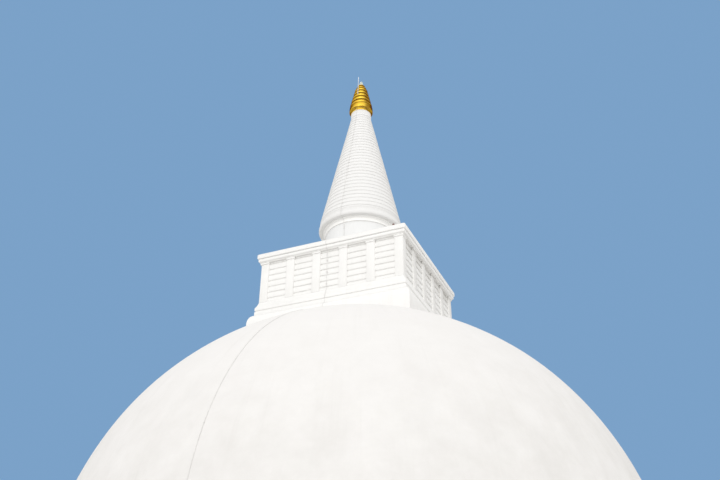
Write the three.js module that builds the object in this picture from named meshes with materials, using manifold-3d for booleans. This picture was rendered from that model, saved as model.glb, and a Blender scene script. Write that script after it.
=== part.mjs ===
// A stupa of plastered brick: dome on three round terraces, square railed box, drum, ringed spire and
// gilded pinnacle. It is a 1:2 scale model, and every size here is the model's own, in millimetres.
// +Z is up, the origin is on the ground at the axis, and the box has its sides square to X and Y.
import * as THREE from 'three';
import { mergeVertices } from 'three/addons/utils/BufferGeometryUtils.js';
import Module from 'manifold-3d';

const wasm = await Module();
wasm.setup();

// The joint left between pieces that touch
const joint = 0.3;

// Number of flat sides on the round pieces
const lowerSides = 64;
const upperSides = 32;
const crystalSides = 12;
const rodSides = 10;

// The down conductor keeps to one line, so the round pieces are turned until a flat side lies under it
const lowerTurn = THREE.MathUtils.degToRad(-1.8);
const upperTurn = THREE.MathUtils.degToRad(-4);

// Base course and terraces, with worn upper edges
const baseRadius = 12250;
const baseHeight = 350;
const baseWear = { width: 50, height: 40 };
const terraceHeight = 950;
const terraceRadii = { lower_terrace: 11950, middle_terrace: 11560, upper_terrace: 11170 };
const terraceFoot = { height: 120, projection: 80, slope: 30 };
const terraceCoping = { height: 170, projection: 70, slope: 50 };
const copingWear = { width: 60, height: 30 };

// Dome, part of an ellipsoid of revolution
const domeRadius = 10620;
const domeRise = 10215;
const domeCentreZ = 3690;
const domeSeatZ = 13500;
const domeSteps = 15;

// Square box above the dome; its plinth runs down into the dome and has a worn round shoulder
const wallHalf = 3150;
const wallFootZ = 14376;
const wallTopZ = 16195;
const plinthHalf = 3470;
const plinthTopZ = 13750;
const plinthSunk = 200;
const shoulderHeight = 405;
const shoulderSteps = 5;

// Base mouldings: a band, a groove, an upright face and a slightly hollow flare up to the wall
const baseHalf = 3262;
const grooveHalf = 3212;
const grooveFootZ = 13932;
const grooveTopZ = 13985;
const flareFootZ = 14100;
const flareBulge = -0.04;
const flareSteps = 3;

// Panelled walls: pilasters with small caps, and rails between them with a sill and a lintel
const pilasterWidth = 354;
const panelsPerSide = 5;
const recessDepth = 80;
const backingDepth = 40;
const railDepth = 34;
const railHeight = 214;
const railPitch = 264;
const railsPerPanel = 6;
const lowestRailZ = 14561;
const railWear = { width: 12, height: 24 };
const cap = { height: 65, projection: 40, side: 15 };

// Cornice: a fillet, a quarter round and an upright face under the slab
const corniceFilletHalf = 3205;
const corniceFilletTopZ = 16225;
const corniceHalf = 3262;
const corniceRoundTopZ = 16290;
const corniceSteps = 4;

// Top slab, with a slight fall at its upper edge
const slabHalf = 3310;
const slabBottomZ = 16388;
const slabTopZ = 16600;
const slabWear = { width: 30, height: 20 };

// Drum and its moulding: fillet, hollow and an upright upper edge
const drumRadius = 1560;
const drumTopZ = 18435;
const drumFillet = { radius: 1607, height: 110 };
const drumMouldingRadius = 1700;
const drumMouldingTopZ = 18643;
const drumMouldingEdge = 43;
const drumHollowBulge = -0.2;
const drumHollowSteps = 4;

// Roll at the foot of the spire, flatter in plan than it is high
const rollCentreRadius = 1832;
const rollReach = 66;
const rollRise = 110;
const rollSteps = 10;

// Ringed spire: the ring edges lie on a cone, and each ring is a little lower than the one below it
const spireFootZ = 18887;
const spireTopZ = 25370;
const ringCount = 32;
const ringShrink = 0.9918;
const ringStep = 22;
const ringStages = { spire_lower: [0, 11], spire_middle: [11, 22], spire_upper: [22, 32] };
const coneSlope = 0.215;
const coneApexZ = 27692;

// Neck, gilded pinnacle and crystal; the finial is a list of [radius, z] points
const neckRadius = 498;
const neckTopZ = 25700;
const gildedRim = { radius: 520, height: 70 };
const gildedCove = { radius: 505, bulge: -0.12, steps: 4 };
const gildedLip = { radius: 589, z: 25870, height: 300, topRadius: 565 };
const gildedRings = 6;
const gildedRingsTopZ = 27600;
const gildedRingShrink = 0.935;
const gildedRingStep = 18;
const gildedSlope = 0.2225;
const gildedFinial = [[192, 27601], [186, 27636], [156, 27670], [120, 27685]];
const crystalSeat = { radius: 84, height: 30, z: 27715 };
const crystalRadius = 98;
const crystalHeight = 310;

// Lightning rod, clamped to the pinnacle, leaning in beside the crystal
const rodRadius = 14;
const rodPointLength = 120;
const rodFoot = new THREE.Vector3(16, -461, 26760);
const rodTip = new THREE.Vector3(-75, -172, 28268);
const clampWidth = 46;
const clampHeight = 40;
const clampGrip = 8;
const clampPlaces = { rod_clamp_lower: 0.08, rod_clamp_upper: 0.4 };

// Down conductor, a flat strip; it starts to lean out this far under an overhang
const stripWidth = 20;
const stripThickness = 8;
const stripX = -109;
const stripEndRise = 35;
const wallLean = 38;
const drumLean = 120;
const neckLean = 120;

// Small lamp on the slab
const lampX = 2805;
const lampY = -3220;
const lampBase = { width: 70, depth: 50, height: 12 };
const lampBody = { width: 90, depth: 55, height: 80 };

function finish(colour, roughness, metalness) {
  return new THREE.MeshStandardMaterial({ color: colour, roughness, metalness });
}

const whitePlaster = finish('#f4f1ea', 0.85, 0);
const gilding = finish('#e3a92c', 0.3, 1);
const crystalGlass = finish('#dcefe4', 0.1, 0);
const galvanised = finish('#c9ccce', 0.45, 0.9);
const darkPaint = finish('#4a2a22', 0.6, 0);

// One closed skin: shared corners joined, flat slivers at the axis dropped, faces turned outwards
function closedSkin(geometry) {
  const bare = geometry.clone();
  bare.deleteAttribute('normal');
  bare.deleteAttribute('uv');
  const joined = mergeVertices(bare, 1e-3);
  const index = joined.index.array;
  const corners = joined.attributes.position;
  const kept = [];
  for (let i = 0; i < index.length; i += 3) {
    const [a, b, c] = [index[i], index[i + 1], index[i + 2]];
    if (a !== b && b !== c && c !== a) {
      kept.push([a, b, c]);
    }
  }
  const pick = (i) => new THREE.Vector3().fromBufferAttribute(corners, i);
  const sixVolumes = kept.reduce((sum, [a, b, c]) => sum + pick(a).cross(pick(b)).dot(pick(c)), 0);
  joined.setIndex(kept.flatMap(([a, b, c]) => (sixVolumes > 0 ? [a, b, c] : [a, c, b])));
  return joined;
}

function toManifold(geometry) {
  const skin = closedSkin(geometry);
  return new wasm.Manifold(new wasm.Mesh({
    numProp: 3,
    vertProperties: new Float32Array(skin.attributes.position.array),
    triVerts: new Uint32Array(skin.index.array),
  }));
}

function fromManifold(solid) {
  const mesh = solid.getMesh();
  const geometry = new THREE.BufferGeometry();
  geometry.setAttribute('position', new THREE.BufferAttribute(new Float32Array(mesh.vertProperties), 3));
  geometry.setIndex(new THREE.BufferAttribute(new Uint32Array(mesh.triVerts), 1));
  return geometry;
}

// Overlapping blocks joined into one body
function joinedBlocks(blocks) {
  return fromManifold(blocks.map(toManifold).reduce((body, block) => body.add(block)));
}

// A round solid about Z from [radius, z] points, with a flat side facing -Y
function roundSolid(profile, sides) {
  const points = profile.map(([radius, z]) => new THREE.Vector2(radius, z));
  const lathe = new THREE.LatheGeometry(points, sides, -Math.PI / sides);
  return closedSkin(lathe.rotateX(Math.PI / 2));
}

// A square solid about Z from [half width, z] points
function squareSolid(profile) {
  const diagonal = profile.map(([half, z]) => [half * Math.SQRT2, z]);
  return roundSolid(diagonal, 4);
}

// A box between two corners
function boxBetween(low, high) {
  const lowCorner = new THREE.Vector3(...low);
  const highCorner = new THREE.Vector3(...high);
  const size = highCorner.clone().sub(lowCorner);
  const middle = highCorner.clone().add(lowCorner).multiplyScalar(0.5);
  return new THREE.BoxGeometry(size.x, size.y, size.z).translate(middle.x, middle.y, middle.z);
}

// The [radius, z] points on a shallow curve between two points, bulging to its right by part of its chord
function curvePoints(start, end, bulge, steps) {
  const points = [];
  const [dx, dz] = [end[0] - start[0], end[1] - start[1]];
  for (let i = 0; i <= steps; i += 1) {
    const t = i / steps;
    const side = 4 * bulge * t * (1 - t);
    points.push([start[0] + dx * t + dz * side, start[1] + dz * t - dx * side]);
  }
  return points;
}

// The [radius, z] points on part of an ellipse, between two angles above the horizontal
function ellipsePoints(centre, reach, rise, fromAngle, toAngle, steps) {
  const points = [];
  for (let i = 0; i <= steps; i += 1) {
    const angle = fromAngle + ((toAngle - fromAngle) * i) / steps;
    points.push([centre[0] + reach * Math.cos(angle), centre[1] + rise * Math.sin(angle)]);
  }
  return points;
}

const stupa = new THREE.Group();
const lowerRound = new THREE.Group();
lowerRound.rotation.z = lowerTurn;
const upperRound = new THREE.Group();
upperRound.rotation.z = upperTurn;
stupa.add(lowerRound, upperRound);

function addPiece(parent, name, geometry, material) {
  const piece = new THREE.Mesh(geometry, material);
  piece.name = name;
  parent.add(piece);
  return piece;
}

// Base course: a plain round step
const baseProfile = [
  [0, 0], [baseRadius, 0], [baseRadius, baseHeight - baseWear.height],
  [baseRadius - baseWear.width, baseHeight], [0, baseHeight],
];
addPiece(lowerRound, 'base_plinth', roundSolid(baseProfile, lowerSides), whitePlaster);

// Terraces, each a drum of masonry with a foot course and a coping
let terraceZ = baseHeight;
for (const [name, radius] of Object.entries(terraceRadii)) {
  const copingRadius = radius + terraceCoping.projection;
  const copingFootZ = terraceHeight - terraceCoping.height;
  const profile = [
    [0, joint],
    [radius + terraceFoot.projection, joint],
    [radius + terraceFoot.projection, terraceFoot.height],
    [radius, terraceFoot.height + terraceFoot.slope],
    [radius, copingFootZ],
    [copingRadius, copingFootZ + terraceCoping.slope],
    [copingRadius, terraceHeight - copingWear.height],
    [copingRadius - copingWear.width, terraceHeight],
    [0, terraceHeight],
  ];
  addPiece(lowerRound, name, roundSolid(profile, lowerSides), whitePlaster).position.z = terraceZ;
  terraceZ += terraceHeight;
}

// Dome
const domeFootZ = terraceZ;
const domeFootAngle = Math.asin((domeFootZ - domeCentreZ) / domeRise);
const domeSeatAngle = Math.asin((domeSeatZ - domeCentreZ) / domeRise);
const domeCurve = ellipsePoints(
  [0, domeCentreZ], domeRadius, domeRise, domeFootAngle, domeSeatAngle, domeSteps,
);
const domeOutline = [[0, domeFootZ + joint], [domeCurve[0][0], domeFootZ + joint], ...domeCurve.slice(1)];
domeOutline.push([0, domeSeatZ]);
addPiece(lowerRound, 'dome', roundSolid(domeOutline, lowerSides), whitePlaster);

// Height of the dome's surface at a distance from the axis
function domeHeightAt(radius) {
  return domeCentreZ + domeRise * Math.sqrt(1 - (radius / domeRadius) ** 2);
}

// Plinth of the box, its underside shaped to the dome
const clearedCurve = domeCurve.map(([radius, z]) => [radius + joint, z + joint]);
const domeCutter = roundSolid([[0, domeFootZ], ...clearedCurve, [0, domeSeatZ + joint]], lowerSides);
domeCutter.rotateZ(lowerTurn);
const plinthFootZ = domeHeightAt(plinthHalf * Math.SQRT2) - plinthSunk;
const quarterTurn = Math.PI / 2;
const plinthShoulder = ellipsePoints(
  [baseHalf, plinthTopZ - shoulderHeight], plinthHalf - baseHalf, shoulderHeight,
  0, quarterTurn, shoulderSteps,
);
const plinthBlock = squareSolid([
  [0, plinthFootZ], [plinthHalf, plinthFootZ], ...plinthShoulder, [0, plinthTopZ],
]);
const boxPlinth = toManifold(plinthBlock).subtract(toManifold(domeCutter));
addPiece(stupa, 'box_plinth', fromManifold(boxPlinth), whitePlaster);

// Base mouldings of the box
const boxBaseProfile = [
  [0, plinthTopZ + joint], [baseHalf, plinthTopZ + joint], [baseHalf, grooveFootZ], [grooveHalf, grooveFootZ],
  [grooveHalf, grooveTopZ], [baseHalf, grooveTopZ],
  ...curvePoints([baseHalf, flareFootZ], [wallHalf, wallFootZ], flareBulge, flareSteps), [0, wallFootZ],
];
addPiece(stupa, 'box_base', squareSolid(boxBaseProfile), whitePlaster);

// Core of the box, with a notch at each corner for the corner pilasters
const wallLowZ = wallFootZ + joint;
const wallHighZ = wallTopZ - joint;
const coreHalf = wallHalf - recessDepth - backingDepth - joint;
const notchHalf = wallHalf - pilasterWidth - joint;
const coreQuarter = [[coreHalf, -notchHalf], [coreHalf, notchHalf], [notchHalf, notchHalf]];
const coreCorners = [0, 1, 2, 3].flatMap((quarter) => coreQuarter.map(([x, y]) => (
  new THREE.Vector2(x, y).rotateAround(new THREE.Vector2(), (quarter * Math.PI) / 2)
)));
const coreBody = new THREE.ExtrudeGeometry(new THREE.Shape(coreCorners), {
  depth: wallHighZ - wallLowZ, bevelEnabled: false,
});
addPiece(stupa, 'box_core', closedSkin(coreBody), whitePlaster).position.z = wallLowZ;

// Walls between the corner pilasters: a backing with five panels of rails, and four pilasters before it.
// They are laid out on the side that faces -Y, and turned for the others.
const pilasterCount = panelsPerSide - 1;
const wallRun = 2 * (wallHalf - pilasterWidth);
const panelWidth = (wallRun - pilasterCount * pilasterWidth) / panelsPerSide;
const backingFaceY = -(wallHalf - recessDepth);
const backingMiddleY = backingFaceY + backingDepth / 2;
const railFaceY = backingFaceY - railDepth;
const railLength = panelWidth - 2 * joint;

function railsGeometry() {
  let walling = toManifold(boxBetween(
    [-wallRun / 2 + joint, backingFaceY, wallLowZ],
    [wallRun / 2 - joint, backingFaceY + backingDepth, wallHighZ],
  ));
  const railShape = new THREE.Shape([
    new THREE.Vector2(backingMiddleY, 0),
    new THREE.Vector2(railFaceY, 0),
    new THREE.Vector2(railFaceY, railHeight - railWear.height),
    new THREE.Vector2(railFaceY + railWear.width, railHeight),
    new THREE.Vector2(backingMiddleY, railHeight),
  ]);
  const rail = new THREE.ExtrudeGeometry(railShape, { depth: railLength, bevelEnabled: false });
  rail.rotateY(Math.PI / 2);
  rail.rotateX(Math.PI / 2);
  const sillTopZ = lowestRailZ - (railPitch - railHeight);
  const lintelFootZ = lowestRailZ + railsPerPanel * railPitch;
  for (let panel = 0; panel < panelsPerSide; panel += 1) {
    const panelX = -wallRun / 2 + panel * (panelWidth + pilasterWidth) + joint;
    for (const [footZ, headZ] of [[wallLowZ, sillTopZ], [lintelFootZ, wallHighZ]]) {
      const bar = boxBetween([panelX, railFaceY, footZ], [panelX + railLength, backingMiddleY, headZ]);
      walling = walling.add(toManifold(bar));
    }
    for (let row = 0; row < railsPerPanel; row += 1) {
      const placed = rail.clone().translate(panelX, 0, lowestRailZ + row * railPitch);
      walling = walling.add(toManifold(placed));
    }
  }
  return fromManifold(walling);
}

// A pilaster's cap stands out in front and a little to each side, clear of the lintel
const capFootZ = wallHighZ - cap.height;
const capFaceY = -(wallHalf + cap.projection);
const capBackY = railFaceY - joint;
const pilasterBody = joinedBlocks([
  boxBetween([-pilasterWidth / 2, -wallHalf, wallLowZ], [pilasterWidth / 2, backingFaceY - joint, wallHighZ]),
  boxBetween(
    [-pilasterWidth / 2 - cap.side, capFaceY, capFootZ],
    [pilasterWidth / 2 + cap.side, capBackY, wallHighZ],
  ),
]);
const cornerInner = wallHalf - pilasterWidth;
const cornerBody = joinedBlocks([
  boxBetween([cornerInner, -wallHalf, wallLowZ], [wallHalf, -cornerInner, wallHighZ]),
  boxBetween([cornerInner, capFaceY, capFootZ], [-capFaceY, -cornerInner, wallHighZ]),
  boxBetween([cornerInner - cap.side, capFaceY, capFootZ], [wallHalf, capBackY, wallHighZ]),
  boxBetween([-capBackY, -wallHalf, capFootZ], [-capFaceY, -cornerInner + cap.side, wallHighZ]),
]);

const railsBody = railsGeometry();
['front', 'right', 'back', 'left'].forEach((sideName, side) => {
  const sideGroup = new THREE.Group();
  sideGroup.rotation.z = (side * Math.PI) / 2;
  stupa.add(sideGroup);
  addPiece(sideGroup, `corner_pilaster_${side + 1}`, cornerBody.clone(), whitePlaster);
  addPiece(sideGroup, `rails_${sideName}`, railsBody.clone(), whitePlaster);
  for (let i = 0; i < pilasterCount; i += 1) {
    const pilasterName = `${sideName}_pilaster_${i + 1}`;
    const pilaster = addPiece(sideGroup, pilasterName, pilasterBody.clone(), whitePlaster);
    pilaster.position.x = (i - (pilasterCount - 1) / 2) * (panelWidth + pilasterWidth);
  }
});

// Cornice
const corniceRoundHeight = corniceRoundTopZ - corniceFilletTopZ;
const corniceRound = ellipsePoints(
  [corniceFilletHalf, corniceRoundTopZ], corniceHalf - corniceFilletHalf, corniceRoundHeight,
  -quarterTurn, 0, corniceSteps,
);
const corniceProfile = [
  [0, wallTopZ], [corniceFilletHalf, wallTopZ], ...corniceRound,
  [corniceHalf, slabBottomZ - joint], [0, slabBottomZ - joint],
];
addPiece(stupa, 'cornice', squareSolid(corniceProfile), whitePlaster);

// Top slab
const slabProfile = [
  [0, slabBottomZ], [slabHalf, slabBottomZ], [slabHalf, slabTopZ - slabWear.height],
  [slabHalf - slabWear.width, slabTopZ], [0, slabTopZ],
];
addPiece(stupa, 'top_slab', squareSolid(slabProfile), whitePlaster);

// Plain drum
const drumProfile = [
  [0, slabTopZ + joint], [drumRadius, slabTopZ + joint],
  [drumRadius, drumTopZ - joint], [0, drumTopZ - joint],
];
addPiece(upperRound, 'drum', roundSolid(drumProfile, upperSides), whitePlaster);

// Moulding on the drum
const drumFilletTop = [drumFillet.radius, drumTopZ + drumFillet.height];
const drumEdgeFoot = [drumMouldingRadius, drumMouldingTopZ - drumMouldingEdge];
const drumMouldingProfile = [
  [0, drumTopZ], [drumFillet.radius, drumTopZ],
  ...curvePoints(drumFilletTop, drumEdgeFoot, drumHollowBulge, drumHollowSteps),
  [drumMouldingRadius, drumMouldingTopZ - joint], [0, drumMouldingTopZ - joint],
];
addPiece(upperRound, 'drum_moulding', roundSolid(drumMouldingProfile, upperSides), whitePlaster);

// Roll at the foot of the spire
const rollCentre = [rollCentreRadius, drumMouldingTopZ + rollRise];
const rollCurve = ellipsePoints(rollCentre, rollReach, rollRise, -quarterTurn, quarterTurn, rollSteps);
const rollProfile = [
  [0, drumMouldingTopZ], ...rollCurve, [rollCentreRadius, spireFootZ - joint], [0, spireFootZ - joint],
];
addPiece(upperRound, 'spire_foot', roundSolid(rollProfile, upperSides), whitePlaster);

// Spire stages: each ring leans in more than the cone, and the next one steps out over it
function coneRadiusAt(z) {
  return coneSlope * (coneApexZ - z);
}
function ringFootAt(ring) {
  const share = (1 - ringShrink ** ring) / (1 - ringShrink ** ringCount);
  return spireFootZ + (spireTopZ - spireFootZ) * share;
}
for (const [name, [firstRing, endRing]] of Object.entries(ringStages)) {
  const headZ = ringFootAt(endRing) - joint;
  const profile = [[0, ringFootAt(firstRing)]];
  for (let ring = firstRing; ring < endRing; ring += 1) {
    const footZ = ringFootAt(ring);
    const topZ = Math.min(ringFootAt(ring + 1), headZ);
    profile.push([coneRadiusAt(footZ), footZ], [coneRadiusAt(topZ) - ringStep, topZ]);
  }
  profile.push([0, headZ]);
  addPiece(upperRound, name, roundSolid(profile, upperSides), whitePlaster);
}

// Plain neck
const neckProfile = [
  [0, spireTopZ], [neckRadius, spireTopZ], [neckRadius, neckTopZ - joint], [0, neckTopZ - joint],
];
addPiece(upperRound, 'spire_neck', roundSolid(neckProfile, upperSides), whitePlaster);

// Gilded pinnacle: a rim and a cove under a deep lip, a stack of rings that narrows, and a finial under the
// crystal. Each ring is a little lower than the one below it and has a groove at its foot.
function pinnacleProfile(clearance) {
  const rimTopZ = neckTopZ + gildedRim.height;
  const lipTopZ = gildedLip.z + gildedLip.height;
  const cove = curvePoints(
    [gildedCove.radius, rimTopZ + 1], [gildedLip.radius - gildedRingStep / 2, gildedLip.z],
    gildedCove.bulge, gildedCove.steps,
  );
  const outline = [
    [0, neckTopZ], [gildedRim.radius, neckTopZ], [gildedRim.radius, rimTopZ], ...cove,
    [gildedLip.radius, gildedLip.z + gildedRingStep],
    [gildedLip.topRadius + gildedRingStep / 2, gildedLip.z + gildedLip.height * 0.8],
  ];
  const shrunk = (ring) => (1 - gildedRingShrink ** ring) / (1 - gildedRingShrink ** gildedRings);
  const footAt = (ring) => lipTopZ + (gildedRingsTopZ - lipTopZ) * shrunk(ring);
  const radiusAt = (z) => gildedLip.topRadius - gildedSlope * (z - lipTopZ);
  for (let ring = 0; ring < gildedRings; ring += 1) {
    const footZ = footAt(ring);
    const pitch = footAt(ring + 1) - footZ;
    outline.push([radiusAt(footZ) - gildedRingStep, footZ + 1]);
    outline.push([radiusAt(footZ + pitch * 0.3) + gildedRingStep / 3, footZ + pitch * 0.3]);
    outline.push([radiusAt(footZ + pitch * 0.8), footZ + pitch * 0.8]);
  }
  outline.push(...gildedFinial);
  outline.push([crystalSeat.radius, crystalSeat.z - crystalSeat.height]);
  outline.push([crystalSeat.radius, crystalSeat.z - joint], [0, crystalSeat.z - joint]);
  return outline.map(([radius, z]) => [radius > 0 ? radius + clearance : 0, z]);
}
addPiece(upperRound, 'pinnacle', roundSolid(pinnacleProfile(0), upperSides), gilding);

// Crystal, a cut bud: radius and height as parts of its whole size
const crystalCuts = [[0, 0], [0.57, 0], [1, 0.36], [0.55, 0.75], [0, 1]];
const crystalProfile = crystalCuts.map(([radius, height]) => (
  [radius * crystalRadius, crystalSeat.z + height * crystalHeight]
));
addPiece(upperRound, 'crystal', roundSolid(crystalProfile, crystalSides), crystalGlass);

// Lightning rod: a straight rod with a point
const rodLine = new THREE.Vector3().subVectors(rodTip, rodFoot);
const rodLength = rodLine.length();
const upward = new THREE.Vector3(0, 0, 1);
const rodTurn = new THREE.Quaternion().setFromUnitVectors(upward, rodLine.clone().normalize());
function rodSolid(radius) {
  const profile = [[0, 0], [radius, 0], [radius, rodLength - rodPointLength], [0, rodLength]];
  return roundSolid(profile, rodSides).applyQuaternion(rodTurn).translate(rodFoot.x, rodFoot.y, rodFoot.z);
}
addPiece(stupa, 'lightning_rod', rodSolid(rodRadius), galvanised);

// Clamps: short arms from the pinnacle to the rod
const pinnacleCutter = toManifold(roundSolid(pinnacleProfile(joint), upperSides).rotateZ(upperTurn));
const rodCutter = toManifold(rodSolid(rodRadius + joint));
for (const [name, place] of Object.entries(clampPlaces)) {
  const rodPoint = rodFoot.clone().addScaledVector(rodLine, place);
  const reach = Math.hypot(rodPoint.x, rodPoint.y);
  const arm = new THREE.BoxGeometry(clampWidth, reach, clampHeight);
  arm.translate(0, -reach / 2 - rodRadius - clampGrip, 0);
  arm.rotateZ(Math.atan2(rodPoint.x, -rodPoint.y)).translate(0, 0, rodPoint.z);
  const clamp = toManifold(arm).subtract(pinnacleCutter).subtract(rodCutter);
  addPiece(stupa, name, fromManifold(clamp), galvanised);
}

// A flat strip along a line of [distance, z] points, standing off them by the joint.
// It is laid out in the plane x = 0 on the side that faces -Y.
function stripSolid(line) {
  const offsetLine = (distance) => line.map((point, i) => {
    const before = line[Math.max(i - 1, 0)];
    const after = line[Math.min(i + 1, line.length - 1)];
    const way = (from, to) => new THREE.Vector2(to[0] - from[0], to[1] - from[1]).normalize();
    const wayIn = i === 0 ? way(point, after) : way(before, point);
    const wayOut = i === line.length - 1 ? wayIn : way(point, after);
    const normalIn = new THREE.Vector2(wayIn.y, -wayIn.x);
    const normalOut = new THREE.Vector2(wayOut.y, -wayOut.x);
    const mitre = normalIn.clone().add(normalOut);
    mitre.multiplyScalar(distance / (1 + normalIn.dot(normalOut)));
    return new THREE.Vector2(point[0] + mitre.x, point[1] + mitre.y);
  });
  const outer = offsetLine(joint + stripThickness);
  const inner = offsetLine(joint);
  const shape = new THREE.Shape([...outer, ...inner.reverse()]);
  const strip = new THREE.ExtrudeGeometry(shape, { depth: stripWidth, bevelEnabled: false });
  strip.translate(0, 0, -stripWidth / 2);
  // The shape's x runs out along -Y and its y runs up
  strip.applyMatrix4(new THREE.Matrix4().makeBasis(
    new THREE.Vector3(0, -1, 0), new THREE.Vector3(0, 0, 1), new THREE.Vector3(-1, 0, 0),
  ));
  return closedSkin(strip);
}

// Strip up the drum, round the mouldings and along the ring edges to the pinnacle's rim
const lastRingZ = ringFootAt(ringCount - 1);
const rollFace = rollCurve.filter(([, z]) => z < rollCentre[1] + rollRise / 2);
const upperFlat = Math.cos(Math.PI / upperSides);
const spireLine = [
  [drumRadius, slabTopZ + stripEndRise], [drumRadius, drumTopZ - drumLean], [drumFillet.radius, drumTopZ],
  drumFilletTop, drumEdgeFoot, [drumMouldingRadius, drumMouldingTopZ], ...rollFace,
  [coneRadiusAt(spireFootZ), spireFootZ], [coneRadiusAt(lastRingZ), lastRingZ], [neckRadius, spireTopZ],
  [neckRadius, neckTopZ - neckLean], [gildedRim.radius, neckTopZ],
  [gildedRim.radius, neckTopZ + gildedRim.height / 2],
].map(([radius, z]) => [radius * upperFlat, z]);
addPiece(upperRound, 'conductor_spire', stripSolid(spireLine), galvanised);

// Strip over the slab, down the wall and the base of the box
const boxLine = [
  [plinthHalf, domeHeightAt(plinthHalf) + stripEndRise], ...plinthShoulder.slice(1), [baseHalf, flareFootZ],
  [wallHalf, wallFootZ], [wallHalf, wallTopZ - wallLean], [corniceFilletHalf, wallTopZ], ...corniceRound,
  [corniceHalf, slabBottomZ], [slabHalf, slabBottomZ], [slabHalf, slabTopZ],
  [drumRadius + stripEndRise, slabTopZ],
];
addPiece(stupa, 'conductor_box', stripSolid(boxLine), galvanised).position.x = stripX;

// Strip down the dome and over the terraces to the ground
const lowerFlat = Math.cos(Math.PI / lowerSides);
const groundLine = [[baseRadius, 0], [baseRadius, baseHeight]];
let stepZ = baseHeight;
for (const radius of Object.values(terraceRadii)) {
  groundLine.push([radius + terraceFoot.projection, stepZ]);
  groundLine.push([radius + terraceFoot.projection, stepZ + terraceHeight]);
  stepZ += terraceHeight;
}
groundLine.push(...domeCurve.filter(([radius]) => radius > plinthHalf + stripEndRise));
const domeLine = groundLine.map(([radius, z]) => [radius * lowerFlat, z]);
addPiece(lowerRound, 'conductor_dome', stripSolid(domeLine), galvanised);

// Small lamp on the slab
const lampFoot = new THREE.BoxGeometry(lampBase.width, lampBase.depth, lampBase.height);
lampFoot.translate(0, 0, lampBase.height / 2 + joint);
const lampHead = new THREE.BoxGeometry(lampBody.width, lampBody.depth, lampBody.height);
lampHead.translate(0, 0, lampBase.height + lampBody.height / 2);
const lamp = addPiece(stupa, 'slab_lamp', joinedBlocks([lampFoot, lampHead]), darkPaint);
lamp.position.set(lampX, lampY, slabTopZ);

export default stupa;
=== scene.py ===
import math

import bmesh
import bpy
from mathutils import Matrix, Vector, noise


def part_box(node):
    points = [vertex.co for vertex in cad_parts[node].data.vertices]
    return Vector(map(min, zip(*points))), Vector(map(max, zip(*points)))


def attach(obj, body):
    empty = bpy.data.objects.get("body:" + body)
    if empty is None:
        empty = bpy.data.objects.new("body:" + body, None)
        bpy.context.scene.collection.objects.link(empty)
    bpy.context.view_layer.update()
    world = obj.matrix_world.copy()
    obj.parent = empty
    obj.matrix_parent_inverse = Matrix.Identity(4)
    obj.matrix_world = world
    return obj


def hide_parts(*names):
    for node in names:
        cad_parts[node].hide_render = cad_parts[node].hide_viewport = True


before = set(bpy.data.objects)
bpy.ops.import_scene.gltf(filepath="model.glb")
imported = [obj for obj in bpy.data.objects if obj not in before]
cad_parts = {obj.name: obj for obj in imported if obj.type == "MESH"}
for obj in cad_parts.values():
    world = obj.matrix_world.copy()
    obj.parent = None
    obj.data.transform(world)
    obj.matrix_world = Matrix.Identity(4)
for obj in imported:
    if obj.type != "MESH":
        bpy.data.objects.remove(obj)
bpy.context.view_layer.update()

upAxis = Vector((0, 0, 1))
fullTurn = 2 * math.pi
# The direction toward the right of the view, along which painted shade darkens the dome and the pinnacle
rightward = Vector((0.918, 0.396, 0))


def stage(text):
    print("stupa:", text)


def nodeHeights(name):
    low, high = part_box(name)
    return low.z, high.z


def nodeFoot(name):
    return nodeHeights(name)[0]


def nodeTop(name):
    return nodeHeights(name)[1]


def nodeReach(name):
    low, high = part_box(name)
    return (high.x - low.x) / 2


# Shader helpers: a socket takes a value or, where it is given another socket, a link

def feed(tree, socket, value):
    if isinstance(value, bpy.types.NodeSocket):
        tree.links.new(value, socket)
    else:
        socket.default_value = value


def addNode(tree, kind, values=None, **settings):
    node = tree.nodes.new(kind)
    for key, value in settings.items():
        setattr(node, key, value)
    for key, value in (values or {}).items():
        feed(tree, node.inputs[key], value)
    return node


def mathNode(tree, operation, *values, clamp=False):
    return addNode(tree, "ShaderNodeMath", dict(enumerate(values)), operation=operation,
                   use_clamp=clamp).outputs[0]


def vectorNode(tree, operation, values):
    return addNode(tree, "ShaderNodeVectorMath", values, operation=operation).outputs[0]


# The sum of several values, each with its weight
def weightedSum(tree, parts, clamp=False):
    total, *others = [mathNode(tree, "MULTIPLY", value, weight) for value, weight in parts]
    for other in others:
        total = mathNode(tree, "ADD", total, other, clamp=clamp)
    return total


def mixColour(tree, factor, first, second):
    return addNode(tree, "ShaderNodeMix", {0: factor, 6: first, 7: second}, data_type="RGBA").outputs[2]


def rampNode(tree, source, stops):
    node = addNode(tree, "ShaderNodeValToRGB", {0: source})
    elements = node.color_ramp.elements
    while len(elements) < len(stops):
        elements.new(0.5)
    for element, (place, shade) in zip(elements, stops):
        element.position = place
        element.color = (shade, shade, shade, 1)
    return node.outputs[0]


def noiseNode(tree, vector, scale, detail=3.0, roughness=0.55, distortion=0.0):
    return addNode(tree, "ShaderNodeTexNoise", {
        "Vector": vector, "Scale": scale, "Detail": detail, "Roughness": roughness, "Distortion": distortion,
    }).outputs["Fac"]


# One even tone for each cell of a pattern
def cellNode(tree, vector, scale, randomness=1.0, distance="EUCLIDEAN"):
    cells = addNode(tree, "ShaderNodeTexVoronoi", {
        "Vector": vector, "Scale": scale, "Randomness": randomness,
    }, feature="F1", distance=distance)
    return addNode(tree, "ShaderNodeSeparateColor", {0: cells.outputs["Color"]}).outputs[0]


def reliefNode(tree, height, strength, distance):
    return addNode(tree, "ShaderNodeBump", {
        "Height": height, "Strength": strength, "Distance": distance,
    }).outputs[0]


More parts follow.
